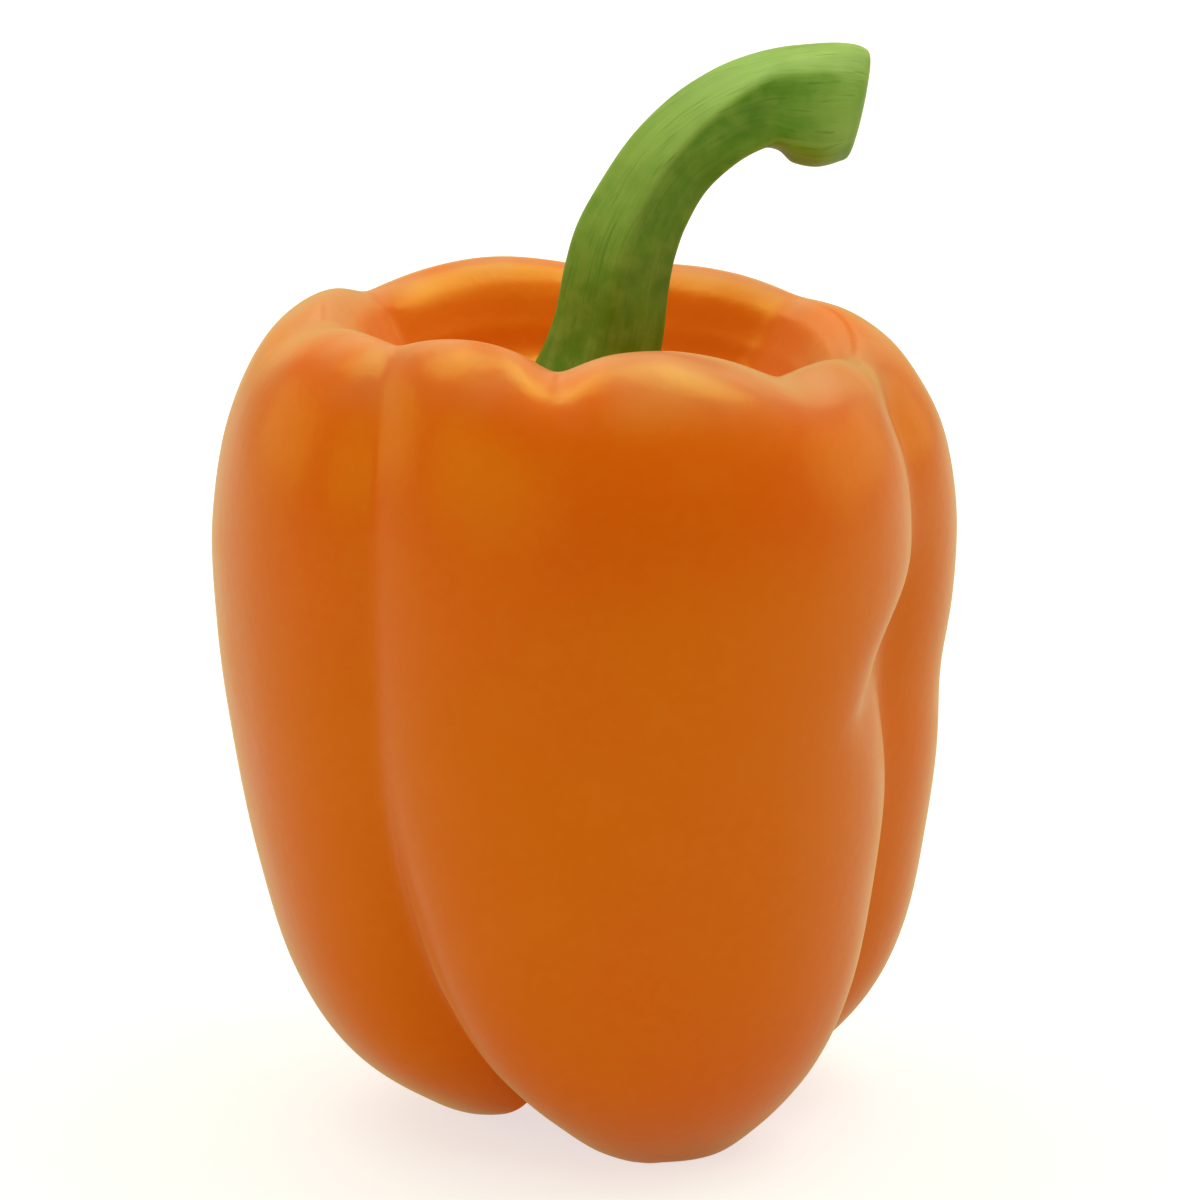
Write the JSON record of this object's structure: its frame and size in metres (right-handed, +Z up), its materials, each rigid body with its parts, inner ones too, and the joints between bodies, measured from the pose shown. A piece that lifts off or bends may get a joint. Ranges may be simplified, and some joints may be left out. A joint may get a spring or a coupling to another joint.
{
  "type": "bell pepper",
  "caption": "Whole blocky bell pepper with rounded lobes, deep grooves and a curved green stem, standing on its lobe tips.",
  "frame": {"origin": "on the surface that the pepper stands on, under the middle of the whole pepper's box", "axes": "+Z up through the crown, -Y towards the widest lobe, +X towards the side that the stem bends over"},
  "size_m": [0.0842, 0.0788, 0.1232],
  "materials": {
    "skin": "smooth orange skin with a soft waxy sheen",
    "stem": "matt green, finely ribbed along its length, paler at the flared cut end"
  },
  "bodies": {
    "root": {"fruit": "skin", "stem": "stem"}
  },
  "joints": []
}
